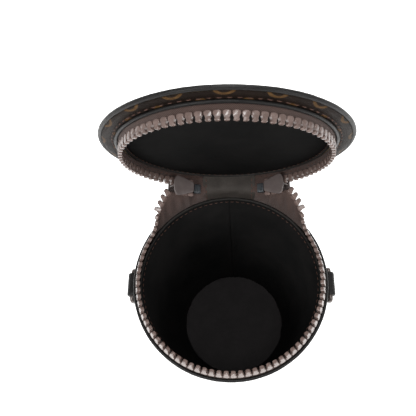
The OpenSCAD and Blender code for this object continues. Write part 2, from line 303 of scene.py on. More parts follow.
# The cup's and the lid's linings are one cloth in two tones: the cup's copy is made lighter, painted light for its dim
# inside, and the lid's copy about two and a half times darker, painted shade.
LINING = lining_look("microfibre", 0.011, 0.017)
LID_LINING_PAINTED_SHADE = lining_look("lid_microfibre_painted_shade", 0.004, 0.0065)
TAPE = tape_look()
TEETH = hard_look("moulded_teeth", (0.138, 0.095, 0.082), (0.200, 0.143, 0.126), (0.2, 0.32), 0.35)
SLIDER = hard_look("satin_paint", (0.100, 0.080, 0.076), (0.130, 0.106, 0.100), (0.32, 0.46), 0.15)
STOP = hard_look("stop_paint", (0.055, 0.062, 0.068), (0.085, 0.094, 0.102), (0.3, 0.42), 0.1, 0.9, 0.3)
METAL = hard_look("dark_metal", (0.100, 0.084, 0.078), (0.150, 0.128, 0.120), (0.28, 0.4), 0.1, 0.9, 0.6)
THREAD = thread_look()
BOARD = board_look()
CORE = hard_look("cord_plastic", (0.30, 0.25, 0.19), (0.40, 0.34, 0.26), (0.5, 0.6), 0.0, 1.4, 0.0, 0.05)


# ---------------------------------------------------------------- mesh building
def piece(name, made, look, body, slot, replaces=(), in_lid=False, sharp=55):
    """Turns (points, faces, one uv for each face corner) into a piece that rides on a body"""
    points, faces, uvs = made
    mesh = bpy.data.meshes.new(name)
    mesh.from_pydata([tuple(map(float, p)) for p in points], [], faces)
    if uvs is not None:
        layer = mesh.uv_layers.new(name="UVMap")
        layer.data.foreach_set("uv", np.array(uvs, float).ravel())
    bm = bmesh.new()
    bm.from_mesh(mesh)
    bmesh.ops.recalc_face_normals(bm, faces=bm.faces)
    bm.to_mesh(mesh)
    bm.free()
    if in_lid:
        mesh.transform(IN_LID)
    mesh.shade_smooth()
    mesh.set_sharp_from_angle(angle=math.radians(sharp))
    mesh.materials.append(look)
    obj = bpy.data.objects.new(name, mesh)
    bpy.context.scene.collection.objects.link(obj)
    if body:
        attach(obj, body)
    if replaces:
        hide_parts(*replaces)
    return obj


def joined(*parts):
    """Several (points, faces, uvs) as one"""
    points, faces, uvs = [], [], []
    for p, f, u in parts:
        start = len(points)
        points += list(p)
        faces += [tuple(i + start for i in face) for face in f]
        uvs += list(u) if u is not None else [(0.0, 0.0)] * sum(len(face) for face in f)
    return points, faces, uvs


def sheet(points, us, vs, wrap_u=False, wrap_v=False, caps=False):
    """A net of points[u][v]. us and vs are the lengths along it, with one more where it wraps."""
    points = np.asarray(points, float)
    nu, nv = points.shape[:2]
    faces, uvs = [], []
    for i in range(nu if wrap_u else nu - 1):
        for j in range(nv if wrap_v else nv - 1):
            i2, j2 = (i + 1) % nu, (j + 1) % nv
            faces.append((i * nv + j, i2 * nv + j, i2 * nv + j2, i * nv + j2))
            uvs += [(us[i], vs[j]), (us[i + 1], vs[j]), (us[i + 1], vs[j + 1]), (us[i], vs[j + 1])]
    if caps:
        if wrap_u:
            rims = [[i * nv + j for i in range(nu)] for j in (0, nv - 1)]
        else:
            rims = [[i * nv + j for j in range(nv)] for i in (0, nu - 1)]
        flat = points.reshape(-1, 3)
        for rim in rims:
            faces.append(tuple(rim))
            uvs += [(flat[i][0], flat[i][1]) for i in rim]
    return points.reshape(-1, 3), faces, uvs


def lengths(outline, closed):
    """Distances along a line of points, from 0"""
    outline = np.asarray(outline, float)
    if closed:
        outline = np.vstack([outline, outline[:1]])
    return np.concatenate([[0.0], np.cumsum(np.linalg.norm(np.diff(outline, axis=0), axis=1))])


def turned(profile, angles=None, shape=None, closed=True, turn=192, whole=False):
    """A profile of (radius, height) turned about the Z axis, whole or over the given angles"""
    if angles is None:
        angles, whole = np.linspace(90, 450, turn, endpoint=False), True
    mean = float(np.mean([r for r, z in profile]))
    net = []
    for a in angles:
        c, s = unit(a)
        row = []
        for j, (r, z) in enumerate(profile):
            if shape:
                r, z = shape(a, r, z, j)
            row.append((r * c, r * s, z))
        net.append(row)
    us = [math.radians(a) * mean for a in angles] + ([math.radians(angles[0] + 360) * mean] if whole else [])
    return sheet(net, us, lengths(profile, closed), whole, closed, not (whole and closed))


def round_profile(r, z, radius, sides=20, flatten=1.0):
    """A bead's round section"""
    return [
        (r + radius * math.cos(t), z + radius * flatten * math.sin(t))
        for t in np.linspace(0, 2 * math.pi, sides, endpoint=False)
    ]


def bead_shape(centre_r, centre_z, amount, seed):
    """Lets a piping swell and wander a little, as leather over a cord does"""

    def shape(a, r, z, j):
        c, s = unit(a)
        swell = 1 + ripple((c, s, 0), 0.05, amount, seed) + ripple((c, s, 0), 0.012, amount * 0.6, seed)
        wander = ripple((c, s, 1), 0.18, 0.12 * MM, seed)
        return centre_r + (r - centre_r) * swell + wander, centre_z + (z - centre_z) * swell + wander * 0.5

    return shape


def bead(name, r, z, radius, look, body, slot, replaces, in_lid=False, seed=0.0, flatten=1.0):
    profile = round_profile(r, z, radius, 20, flatten)
    net = turned(profile, None, bead_shape(r, z, 0.05, seed), True, 288)
    return piece(name, net, look, body, slot, replaces, in_lid)


def swept(path, section, closed=False, up=(0, 0, 1)):
    """A section of (side, up) points swept along a path, with its ends closed"""
    path = np.asarray(path, float)
    n = len(path)
    if closed:
        tangents = np.roll(path, -1, 0) - np.roll(path, 1, 0)
    else:
        tangents = np.gradient(path, axis=0)
    tangents /= np.linalg.norm(tangents, axis=1)[:, None]
    up = np.asarray(up, float)
    net = []
    for p, t in zip(path, tangents):
        side = np.cross(up, t)
        side /= np.linalg.norm(side)
        top = np.cross(t, side)
        net.append([p + side * a + top * b for a, b in section])
    us = lengths(path, closed)
    return sheet(net, us, lengths([(a, b, 0) for a, b in section], True), closed, True, not closed)


def circle(radius, sides):
    """A round section, for swept"""
    turn = np.linspace(0, 2 * math.pi, sides, endpoint=False)
    return [(radius * math.cos(t), radius * math.sin(t)) for t in turn]


def in_mm(pairs):
    """Pairs of millimetres as pairs of metres"""
    return [(a * MM, b * MM) for a, b in pairs]


def plate(outline, thick, rounding, crown, place):
    """A solid slab with rounded edges and a slightly domed face each side. place turns (s, h, d) into a point."""
    outline = np.asarray(outline, float)
    tangent = np.roll(outline, -1, 0) - np.roll(outline, 1, 0)
    inward = np.stack([-tangent[:, 1], tangent[:, 0]], 1)
    inward /= np.linalg.norm(inward, axis=1)[:, None]
    middle = outline.mean(0)
    half = thick / 2
    rings = []
    for k in (0.3, 0.65, 0.85):
        rings.append((middle + (outline + inward * rounding - middle) * k, -half - crown * (1 - k * k)))
    for t in np.linspace(-90, 90, 7):
        c, s = unit(t)
        corner = min(rounding, half)
        height = s * corner + math.copysign(half - corner, s) * (abs(s) > 1e-6)
        rings.append((outline + inward * rounding * (1 - c), height))
    for k in (0.85, 0.65, 0.3):
        rings.append((middle + (outline + inward * rounding - middle) * k, half + crown * (1 - k * k)))
    net = [[place(ring[i][0], ring[i][1], d) for ring, d in rings] for i in range(len(outline))]
    us = lengths(outline, True)
    vs = lengths([(0, d, 0) for _, d in rings], False)
    return sheet(net, us, vs, True, False, True)


def smooth_outline(corners, times=3):
    """Rounds an outline by cutting its corners again and again"""
    p = np.asarray(corners, float)
    for _ in range(times):
        q = np.roll(p, -1, 0)
        p = np.stack([p * 0.75 + q * 0.25, p * 0.25 + q * 0.75], 1).reshape(-1, 2)
    return p


def rounded_box(size, centre, rounding, place):
    """A block with rounded edges"""
    bm = bmesh.new()
    bmesh.ops.create_cube(bm, size=1)
    bmesh.ops.scale(bm, vec=size, verts=bm.verts)
    bmesh.ops.bevel(bm, geom=bm.edges[:], offset=rounding, segments=3, profile=0.5, affect="EDGES")
    points = [place(*(v.co + Vector(centre))) for v in bm.verts]
    faces = [tuple(v.index for v in f.verts) for f in bm.faces]
    bm.free()
    return points, faces, None


STITCH = random.Random(11)


def stitches(name, spots, body, length=2.9, width=0.62, height=0.42, in_lid=False):
    """Sewing thread that lies in short runs. spots are (point, direction, up)."""
    rings = ((-1.0, 0.0), (-0.86, 0.55), (-0.45, 0.95), (0.0, 1.0), (0.45, 0.95), (0.86, 0.55), (1.0, 0.0))
    points, faces = [], []
    for p, d, n in spots:
        p, d, n = Vector(p), Vector(d).normalized(), Vector(n).normalized()
        side = n.cross(d).normalized()
        d = (d + side * STITCH.uniform(-0.07, 0.07)).normalized()
        grow = STITCH.uniform(0.93, 1.06)
        start = len(points)
        for t, w in rings[1:-1]:
            middle = p + d * (t * length / 2 * MM * grow) + n * (0.10 - 0.28 * t * t) * MM
            for q in range(8):
                a = q * math.pi / 4
                points.append(middle + (side * math.cos(a) * width / 2 + n * math.sin(a) * height / 2) * w * MM)
        for r in range(4):
            for q in range(8):
                a, b = start + r * 8 + q, start + r * 8 + (q + 1) % 8
                faces.append((a, b, b + 8, a + 8))
        faces.append(tuple(start + q for q in range(8)))
        faces.append(tuple(start + 32 + q for q in range(8)))
    return piece(name, (points, faces, None), THREAD, body, None, (), in_lid, 80)


def ring_spots(radius, z, pitch, up, start=0.0, turn=360.0):
    """Stitch places round a circle. up is (outward, upward)."""
    count = max(2, round(math.radians(turn) * radius / (pitch * MM)))
    spots = []
    for i in range(count):
        a = math.radians(start + turn * (i + 0.5) / count)
        c, s = math.cos(a), math.sin(a)
        spots.append(((radius * c, radius * s, z), (-s, c, 0), (up[0] * c, up[0] * s, up[1])))
    return spots


def line_spots(path, ups, pitch):
    """Stitch places along a line of points"""
    path = np.asarray(path, float)
    along = lengths(path, False)
    count = max(1, int(along[-1] / (pitch * MM)))
    margin = (along[-1] - count * pitch * MM) / 2
    spots = []
    for i in range(count):
        at = margin + (i + 0.5) * pitch * MM
        p = [np.interp(at, along, path[:, k]) for k in range(3)]
        q = [np.interp(at + 0.3 * MM, along, path[:, k]) for k in range(3)]
        o = [np.interp(at - 0.3 * MM, along, path[:, k]) for k in range(3)]
        n = [np.interp(at, along, np.asarray(ups, float)[:, k]) for k in range(3)]
        spots.append((p, np.array(q) - np.array(o), n))
    return spots


# ---------------------------------------------------------------- the cup's wall, lining and base
WALL_STEPS = np.linspace(WALL_LOW + 0.2 * MM, WALL_TOP - 0.1 * MM, 46)


def wall_shape(a, r, z, j):
    """Canvas dips where it's sewn to the pipings and is never quite flat in between"""
    c, s = unit(a)
    pull = 0.30 * (bell(z - WALL_TOP + SEAM_IN, 1.6 * MM) + bell(z - WALL_LOW - SEAM_IN, 1.6 * MM))
    uneven = ripple((c * 0.055, s * 0.055, z), 0.035, 0.28 * MM, 3.0)
    return r - pull * MM + uneven, z


outer = [(wall_radius(z), z) for z in WALL_STEPS]
inner = [(wall_radius(z) - 1.15 * MM, z) for z in WALL_STEPS[::-9]]
piece("cup_canvas", turned(outer + inner, None, wall_shape), CANVAS, "cup", "coated_canvas", ["body_canvas"])


def seam_angles():
    """Close steps near the seam at the back, wider ones elsewhere"""
    near = [90 + d for d in (-6, -4.5, -3, -2.2, -1.6, -1.1, -0.7, -0.35, 0, 0.35, 0.7, 1.1, 1.6, 2.2, 3, 4.5, 6)]
    return near + list(np.linspace(98, 442, 170))


def lining_fold(a, r, z, j):
    """The lining's seam at the back, its soft upright folds and small creases"""
    c, s = unit(a)
    off = (a - 90) if a < 270 else (a - 450)
    seam = 0.42 * bell(off, 0.45) - 0.38 * bell(abs(off) - 1.9, 1.3)
    depth = 1 - math.exp(-((WALL_TOP - z) / (9 * MM))) * 0.8
    folds = ripple((c * 0.05, s * 0.05, z * 0.28), 0.011, 0.62 * MM, 7.0) * depth
    creases = ripple((c * 0.05, s * 0.05, z), 0.006, 0.16 * MM, 1.0) * depth
    return r + seam * MM * (0.4 + 0.6 * depth) + folds + creases, z


LINING_STEPS = np.linspace(FLOOR_Z + 0.2 * MM, WALL_TOP + 0.1 * MM, 58)
inside = [(wall_radius(z) - WALL_T - 0.15 * MM, z) for z in LINING_STEPS]
behind = [(wall_radius(z) - WALL_T + 0.6 * MM, z) for z in LINING_STEPS[::-8]]


def lining_shape(a, r, z, j):
    """Folds on the side that is seen, kept off the board behind"""
    if j >= len(inside):
        return r, z
    moved, z = lining_fold(a, r, z, j)
    return min(moved, wall_radius(z) - WALL_T + 0.35 * MM), z


lining_net = turned(inside + behind, seam_angles(), lining_shape, whole=True)
piece("cup_lining", lining_net, LINING, "cup", "lining", ["body_lining"])


def pad_shape(a, r, z, j):
    """Small unevenness of the floor pad's top"""
    c, s = unit(a)
    return r, z + (ripple((r * c, r * s, 0), 0.014, 0.22 * MM, 5.0) if j < len(pad_top) else 0.0)


pad_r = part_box("floor_pad")[1].x + 0.4 * MM
pad_top = [
    (r, FLOOR_Z + (0.8 + 0.5 * (1 - (r / pad_r) ** 4)) * MM)
    for r in np.linspace(CENTRE_HOLE, pad_r - 0.9 * MM, 22)
]
pad_edge = [
    (pad_r - 0.35 * MM, FLOOR_Z + 0.66 * MM),
    (pad_r - 0.1 * MM, FLOOR_Z + 0.4 * MM),
    (pad_r - 0.2 * MM, FLOOR_Z + 0.05 * MM),
    (CENTRE_HOLE, FLOOR_Z + 0.05 * MM),
]
FLOOR_LOOK = leather_look("floor_felt", (0.026, 0.0235, 0.0240), (0.034, 0.0310, 0.0315), (0.8, 0.92), 3.0, 0.05, 0.0)
pad_net = turned(pad_top + pad_edge, None, pad_shape, False, 128)
pad = piece("cup_floor_pad", pad_net, FLOOR_LOOK, "cup", "lining", ["floor_pad"])

panel_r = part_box("base_panel")[1].x


def base_shape(a, r, z, j):
    """Small unevenness of the base panel's underside"""
    c, s = unit(a)
    return r, z + (ripple((r * c, r * s, 0), 0.016, 0.06 * MM, 2.0) if 1 < j < 14 else 0.0)


base_profile = [(CENTRE_HOLE, 1.15 * MM), (panel_r, 1.15 * MM), (panel_r, 0.5 * MM), (panel_r - 0.5 * MM, 0.12 * MM)]
base_profile += [
    (r, (0.10 + 0.30 * bell(r - panel_r + BASE_SEAM_IN, 0.8 * MM)) * MM)
    for r in np.linspace(panel_r - 1.2 * MM, CENTRE_HOLE, 30)
]
base_net = turned(base_profile, None, base_shape, False, 144)
piece("base_leather", base_net, BLACK, "cup", "black_leather", ["base_panel"])
stitches("base_stitches", ring_spots(panel_r - BASE_SEAM_IN, 0.30 * MM, 4.4, (0, -1)), "cup", height=0.3)

base_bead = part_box("base_piping")[1].x - 1.5 * MM
bead("cup_base_piping", base_bead, 1.52 * MM, 1.48 * MM, BLACK, "cup", "black_leather", ["base_piping"], seed=4.0)
bead("cup_rim_piping", PIPING_C, PIPING_Z, PIPING_R, BLACK, "cup", "black_leather", ["rim_piping"], seed=9.0)
binding_z = WALL_TOP + 0.3 * MM
bead("cup_binding", BINDING_C, binding_z, BINDING_R, BINDING, "cup", "hinge_leather", ["rim_binding"], seed=2.0)
inner_spots = ring_spots(51.75 * MM, WALL_TOP - 1.5 * MM, 3.4, (-1, 0.1))
stitches("rim_inner_stitches", inner_spots, "cup", 2.3, 0.46, 0.32)
for name, z, tilt in (("rim_stitches", WALL_TOP - SEAM_IN, 0.12), ("foot_stitches", WALL_LOW + SEAM_IN, -0.12)):
    stitches(name, ring_spots(wall_radius(z) - 0.25 * MM, z, 4.4, (1, tilt)), "cup")

# Leather strip over the wall's closing seam at the back
strip_low, strip_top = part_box("back_strip")[0].z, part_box("back_strip")[1].z
STRIP_HALF = 7.0
strip_steps = np.linspace(strip_low, strip_top, 40)


def back_strip():
    """A strip with thinned edges, a sewn groove down each side and soft ends"""
    net = []
    across = np.concatenate([[-1.0, -0.985, -0.95], np.linspace(-0.86, 0.86, 15), [0.95, 0.985, 1.0]])
    for z in strip_steps:
        row = []
        for k in across:
            edge = max(0.0, (abs(k) - 0.93) / 0.07)
            end = min(1.0, (z - strip_low) / (0.8 * MM), (strip_top - z) / (0.8 * MM))
            groove = 0.22 * bell(abs(k) - STRIP_SEAM, 0.05)
            rise = (1.0 - 0.45 * edge**2 - groove) * (0.55 + 0.45 * math.sqrt(max(0.0, end)))
            c, s = unit(90 + k * STRIP_HALF)
            r = wall_radius(z) + rise * MM + ripple((k, z * 40, 0), 0.3, 0.05 * MM)
            row.append((r * c, r * s, z))
        for k in across[::-4]:
            c, s = unit(90 + k * STRIP_HALF)
            r = wall_radius(z) - 0.15 * MM
            row.append((r * c, r * s, z))
        net.append(row)
    vs = lengths(net[0], True)
    return sheet(net, lengths([n[0] for n in net], False), vs, False, True, True)


piece("back_leather", back_strip(), BLACK, "cup", "black_leather", ["back_strip"])
for side in (-1, 1):
    c, s = unit(90 + side * STRIP_SEAM * STRIP_HALF)
    path = [((wall_radius(z) + 0.85 * MM) * c, (wall_radius(z) + 0.85 * MM) * s, z) for z in strip_steps[1:-1]]
    word = "left" if side < 0 else "right"
    stitches("back_stitches_" + word, line_spots(path, [(c, s, 0)] * len(path), 4.4), "cup")


# ---------------------------------------------------------------- zip tapes and teeth
TAPE_START = 15.3


def closing(off):
    """How far a tape's edge reaches to the other tape where there are no teeth, beside the end stop"""
    t = min(1.0, max(0.0, (27.5 - off) / 2.0))
    return 3.78 * MM * t * t * (3 - 2 * t)


def tape(lean, start):
    """A zip's tape: a strip that rises from the seam to the feet of the teeth, from start degrees off the back"""
    low = WALL_TOP - 0.2 * MM
    rise = TOOTH_ROOT + 0.35 * MM - low
    centre = [(CHAIN_R + (1.0 * (1 - t) ** 1.5 - lean * t) * MM, low + rise * t) for t in np.linspace(0, 1, 10)]
    half = 0.24 * MM
    profile = [(r - half, z) for r, z in centre]
    profile += [(centre[-1][0], centre[-1][1] + half)]
    profile += [(r + half, z) for r, z in centre[::-1]]
    angles = np.linspace(90 + start, 450 - start, 300)

    def shape(a, r, z, j):
        c, s = unit(a)
        off = min(a - 90, 450 - a)
        return r + ripple((c, s, 0), 0.09, 0.16 * MM, 6.0), z + closing(off) * (z - low) / rise

    return turned(profile, angles, shape)


def one_tooth():
    """A moulded tooth: a broad foot on the tape, a neck and a flared head"""
    half = [(1.45, -0.95), (1.72, -0.5), (1.74, 0.7), (1.45, 1.15), (0.86, 1.65)]
    half += [(0.80, 2.0), (1.15, 2.5), (1.27, 2.85), (1.24, 3.15), (0.95, 3.48)]
    outline = smooth_outline(in_mm(half + [(-x, z) for x, z in half[::-1]]), 1)
    bm = bmesh.new()
    lower = [bm.verts.new((-1.0 * MM, x, z)) for x, z in outline]
    upper = [bm.verts.new((1.0 * MM, x, z)) for x, z in outline]
    bm.faces.new(lower[::-1])
    bm.faces.new(upper)
    count = len(outline)
    for i in range(count):
        j = (i + 1) % count
        bm.faces.new((lower[i], lower[j], upper[j], upper[i]))
    rims = [e for e in bm.edges if abs(e.verts[0].co.x - e.verts[1].co.x) < 1e-7]
    bmesh.ops.bevel(bm, geom=rims, offset=0.27 * MM, segments=3, profile=0.5, affect="EDGES", clamp_overlap=True)
    bm.verts.index_update()
    points = np.array([v.co for v in bm.verts])
    faces = [tuple(v.index for v in f.verts) for f in bm.faces]
    bm.free()
    return points, faces


TOOTH = one_tooth()
TEETH_COUNT = 74


def set_teeth(frames):
    """Teeth at the given frames, whose x looks outward, y along the zip and z to the tips"""
    points, faces = [], []
    for frame_at in frames:
        start = len(points)
        points += [frame_at @ Vector(p) for p in TOOTH[0]]
        faces += [tuple(k + start for k in f) for f in TOOTH[1]]
    return points, faces, None


def tooth_frame(angle, foot_shift, lean, rng):
    """A tooth's frame on the cup's ring, at angle degrees, leaning in and a hair off its neighbours"""
    return (
        Matrix.Rotation(math.radians(angle + rng.uniform(-0.08, 0.08)), 4, "Z")
        @ Matrix.Translation((CHAIN_R + foot_shift * MM, 0, TOOTH_ROOT))
        @ Matrix.Rotation(math.radians(-lean + rng.uniform(-1.2, 1.2)), 4, "Y")
        @ Matrix.Rotation(math.radians(rng.uniform(-1.0, 1.0)), 4, "X")
    )


def teeth(foot_shift, lean, seed, low, high):
    """The teeth of a row that stand between low and high degrees off the back, on both sides"""
    rng = random.Random(seed)
    step = (360 - 2 * TOOTH_START) / (TEETH_COUNT - 1)
    frames = []
    for i in range(TEETH_COUNT):
        off = min(TOOTH_START + i * step, 360 - TOOTH_START - i * step)
        if low <= off <= high:
            frames.append(tooth_frame(90 + TOOTH_START + i * step, foot_shift, lean, rng))
    return set_teeth(frames)


def mirrored(made):
    """A cup-side zip piece turned over into the lid's own place, measured from the zip's middle plane"""
    points, faces, uvs = made
    return [(p[0], p[1], ZIP_Z - p[2]) for p in points], faces, uvs


# Near the hinge the two rows are zipped together, so the cup's tape reaches up to the lid's row there.
ZIPPED, FREE = 39.5, 62.0  # degrees off the back: the slider's mouth, and where the cup's row is back on its ring


def ring_frame(off, side, in_lid):
    """Point, direction along the zip and direction to the tips, at off degrees from the back"""
    a = math.radians(90 - side * off)
    c, s = math.cos(a), math.sin(a)
    along = Vector((s, -c, 0)) * side
    if in_lid:
        turn = IN_LID.to_3x3()
        point = IN_LID @ Vector((CHAIN_R * c, CHAIN_R * s, TOOTH_ROOT - ZIP_Z))
        return point, turn @ along, turn @ Vector((0, 0, 1))
    r = CHAIN_R - 0.5 * MM
    lean = math.radians(20)
    tips = Vector((-c * math.sin(lean), -s * math.sin(lean), math.cos(lean)))
    return Vector((r * c, r * s, TOOTH_ROOT)), along, tips


def row_between(side, t):
    """The cup's row where it leaves the slider and drops to its ring: t goes from 0 to 1"""
    p0, _, u0 = ring_frame(ZIPPED, side, True)
    p1, d1, u1 = ring_frame(FREE, side, False)
    reach = (p1 - p0).length
    leave = Vector((0.72 * side, -0.50, -0.40)).normalized()
    h0, h1 = 2 * t**3 - 3 * t**2 + 1, t**3 - 2 * t**2 + t
    h2, h3 = -2 * t**3 + 3 * t**2, t**3 - t**2
    point = p0 * h0 + leave * reach * h1 + p1 * h2 + d1 * reach * 0.9 * h3
    return point, u0.lerp(u1, t * t * (3 - 2 * t)).normalized()


def web(side):
    """The cup's tape from the hinge patch to where the row is back on its ring"""
    net = []
    steps = [(off, None) for off in np.linspace(TAPE_START, ZIPPED, 30)]
    steps += [(ZIPPED + (FREE + 0.6 - ZIPPED) * t, t) for t in np.linspace(0.05, 1, 30)]
    for off, t in steps:
        a = math.radians(90 - side * off)
        c, s = math.cos(a), math.sin(a)
        inner = 1.0 - 1.1 * min(1.0, max(0.0, (FREE - off) / 12))
        foot = Vector(((CHAIN_R + inner * MM) * c, (CHAIN_R + inner * MM) * s, WALL_TOP - 0.2 * MM))
        if t is None:
            top, _, up = ring_frame(off, side, True)
            top = top + up * (0.4 * MM + closing(off))
        else:
            top, up = row_between(side, min(1.0, t))
            top = top + up * 0.35 * MM
        slack = 0.9 * MM * math.sin(off * 0.9) + 0.5 * MM * math.sin(off * 0.37 + side)
        rise = foot + Vector((-c * 0.6 * MM, -s * 0.6 * MM, 4.2 * MM))
        bend = top - up * min(3.0 * MM, (top - foot).length * 0.3)
        row = []
        for k in np.linspace(0, 1, 15):
            p = foot * (1 - k) ** 3 + rise * 3 * k * (1 - k) ** 2 + bend * 3 * k * k * (1 - k) + top * k**3
            row.append(p + Vector((c, s, 0)) * slack * math.sin(math.pi * k) ** 2 * 0.5)
        net.append(row)
    net = np.array(net)
    normal = np.cross(np.gradient(net, axis=0), np.gradient(net, axis=1))
    normal /= np.linalg.norm(normal, axis=2)[..., None]
    both = np.concatenate([net + normal * 0.22 * MM, (net - normal * 0.22 * MM)[:, ::-1]], 1)
    return sheet(both, lengths(net[:, 7], False), lengths(both[10], True), False, True, True)


def bend_frames(side):
    """Teeth along the piece of row between the slider's mouth and the ring"""
    fine = [row_between(side, t)[0] for t in np.linspace(0, 1, 101)]
    along = lengths(fine, False)
    pitch = 4.03 * MM
    count = round(along[-1] / pitch)
    frames = []
    for i in range(count):
        t = float(np.interp((i + 0.35) * along[-1] / count, along, np.linspace(0, 1, 101)))
        p, up = row_between(side, t)
        q, _ = row_between(side, min(1.0, t + 0.02))
        o, _ = row_between(side, max(0.0, t - 0.02))
        zip_way = (q - o).normalized()
        outward = zip_way.cross(up).normalized() * side
        up = outward.cross(zip_way).normalized() * side
        basis = Matrix((outward, zip_way * side, up)).transposed()
        frames.append(Matrix.Translation(p) @ basis.to_4x4())
    return frames


piece("cup_tape", tape(0.5, FREE), TAPE, "cup", "zip_tape", ["cup_zip_tape"])
piece("cup_teeth", teeth(-0.5, 20, 3, FREE, 180), TEETH, "cup", "zip_teeth", ["cup_zip_teeth"], sharp=40)
piece("zipped_teeth", teeth(0, 0, 4, 0, ZIPPED - 1.5), TEETH, "lid", "zip_teeth", (), True, 40).data.transform(
    IN_LID @ Matrix.Translation((0, 0, -ZIP_Z)) @ IN_LID.inverted()
)
for side, word in ((-1, "left"), (1, "right")):
    for made, name, look, slot in (
        (web(side), word + "_tape_web", TAPE, "zip_tape"),
        (set_teeth(bend_frames(side)), word + "_bend_teeth", TEETH, "zip_teeth"),
    ):
        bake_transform(piece(name, made, look, None, slot, (), False, 45))
piece("lid_tape", mirrored(tape(0.1, TAPE_START)), TAPE, "lid", "zip_tape", ["lid_zip_tape"], True)
piece("lid_teeth", mirrored(teeth(-0.1, 6, 5, 0, 180)), TEETH, "lid", "zip_teeth", ["lid_zip_teeth"], True, 40)


def tape_spots(start, lean):
    """Stitches along a tape's foot, on its inner face"""
    height = 0.42
    r = CHAIN_R + (1.0 * (1 - height) ** 1.5 - lean * height - 0.30) * MM
    return ring_spots(r, WALL_TOP + (TOOTH_ROOT - WALL_TOP) * height, 3.4, (-1, 0.1), 90 + start, 360 - 2 * start)


stitches("cup_tape_stitches", tape_spots(FREE + 1, 0.5), "cup", 2.3, 0.5, 0.34)
lid_spots = [((p[0], p[1], ZIP_Z - p[2]), d, (n[0], n[1], -n[2])) for p, d, n in tape_spots(19, 0.1)]
stitches("lid_tape_stitches", lid_spots, "lid", 2.3, 0.5, 0.34, True)


# ---------------------------------------------------------------- the lid
for name, r, z, radius, node, seed in (
    ("lid_rim_bead", PIPING_C, ZIP_Z - PIPING_Z, PIPING_R, "lid_rim_piping", 12.0),
    ("lid_edge_bead", EDGE_R, EDGE_Z, EDGE_BEAD, "lid_edge_piping", 14.0),
):
    bead(name, r, z, radius, BLACK, "lid", "black_leather", [node], True, seed)
inner_spots = ring_spots(BINDING_C - 0.95 * MM, LID_SEAT - 0.05 * MM, 3.4, (-0.9, -0.5))
stitches("lid_inner_stitches", inner_spots, "lid", 2.3, 0.46, 0.32, True)
binding_z = LID_SEAT - 0.3 * MM
bead("lid_inner_binding", BINDING_C, binding_z, BINDING_R, BINDING, "lid", "hinge_leather", ["lid_binding"], True, 17.0)


def flange_shape(a, r, z, j):
    """The flange is never quite flat"""
    c, s = unit(a)
    return r, z + ripple((c, s, r * 20), 0.08, 0.14 * MM, 8.0)


FLANGE = [(56.2, 9.25), (56.9, 9.12), (57.8, 9.04), (58.4, 9.16), (59.1, 9.02), (60.2, 8.88), (61.4, 8.92)]
FLANGE += [(62.4, 9.1), (63.2, 9.45), (63.6, 9.85), (63.2, 10.0), (60.0, 9.8), (56.2, 9.8)]
drop = ZIP_HALF - 8.1 * MM
flange_net = turned([(r * MM, z * MM + drop) for r, z in FLANGE], None, flange_shape, True, 240)
piece("lid_flange", flange_net, CANVAS, "lid", "coated_canvas", ["lid_band"], True)
stitches("flange_stitches", ring_spots(58.45 * MM, LID_SEAT + 0.02 * MM, 4.3, (0, -1)), "lid", in_lid=True)

top_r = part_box("lid_top_panel")[1].x


def top_height(r):
    """The crowned top's height at radius r, with its sewn groove"""
    groove = 0.35 * bell(r - top_r + TOP_SEAM_IN, 0.9 * MM)
    return PANEL_Z + (1.1 + 1.3 * (1 - (r / top_r) ** 2) - groove) * MM


def top_shape(a, r, z, j):
    """Soft unevenness of the top"""
    c, s = unit(a)
    return r, z + (ripple((r * c, r * s, 0), 0.03, 0.25 * MM, 4.0) if j < 40 else 0.0)


top_profile = [(r, top_height(r)) for r in np.linspace(LID_HOLE, top_r - 0.3 * MM, 40)]
top_profile += [(top_r - 0.02 * MM, PANEL_Z + 0.7 * MM), (top_r - 0.1 * MM, PANEL_Z + 0.1 * MM)]
top_profile += [(LID_HOLE, PANEL_Z + 0.1 * MM)]


def disc(profile, shape, count):
    """A turned disc whose uvs lie flat, so that the print runs straight across it"""
    points, faces, _ = turned(profile, None, shape, False, count)
    return points, faces, [(points[i][0], points[i][1]) for f in faces for i in f]


lid_top = piece("lid_top", disc(top_profile, top_shape, 160), CANVAS, "lid", "coated_canvas", ["lid_top_panel"], True)
seam_r = top_r - TOP_SEAM_IN
top_spots = ring_spots(seam_r, top_height(seam_r) + 0.02 * MM, 4.4, (0, 1))
stitches("lid_top_stitches", top_spots, "lid", in_lid=True)

lining_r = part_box("lid_lining")[1].x


def lid_lining_shape(a, r, z, j):
    """Slack folds across the lid's lining"""
    if j >= 34:
        return r, z
    c, s = unit(a)
    x, y = r * c, r * s
    slack = min(1.0, (lining_r - r) / (6 * MM))
    folds = ripple((x, y * 0.35, 0), 0.013, 0.85 * MM, 6.0)
    folds += ripple((x * 0.5 + y * 0.4, y, 0), 0.007, 0.25 * MM, 2.0)
    return r, z + folds * slack


lid_in = [
    (r, LID_SEAT - (0.7 * (1 - (r / lining_r) ** 2) + 0.15) * MM)
    for r in np.linspace(LID_HOLE, lining_r - 0.3 * MM, 34)
]
lid_in += [(lining_r, LID_SEAT + 0.15 * MM), (lining_r - 0.1 * MM, LID_SEAT + 0.65 * MM)]
lid_in += [(LID_HOLE, LID_SEAT + 0.65 * MM)]
lid_net = turned(lid_in, None, lid_lining_shape, False, 192)
# The lid's lining wears the darker copy of the cloth: painted shade.
lid_pad = piece("lid_lining_pad", lid_net, LID_LINING_PAINTED_SHADE, "lid", "lining", ["lid_lining"], True)

# ---------------------------------------------------------------- the hinge patch
PATCH_HALF = math.asin(16 * MM / CHAIN_R)


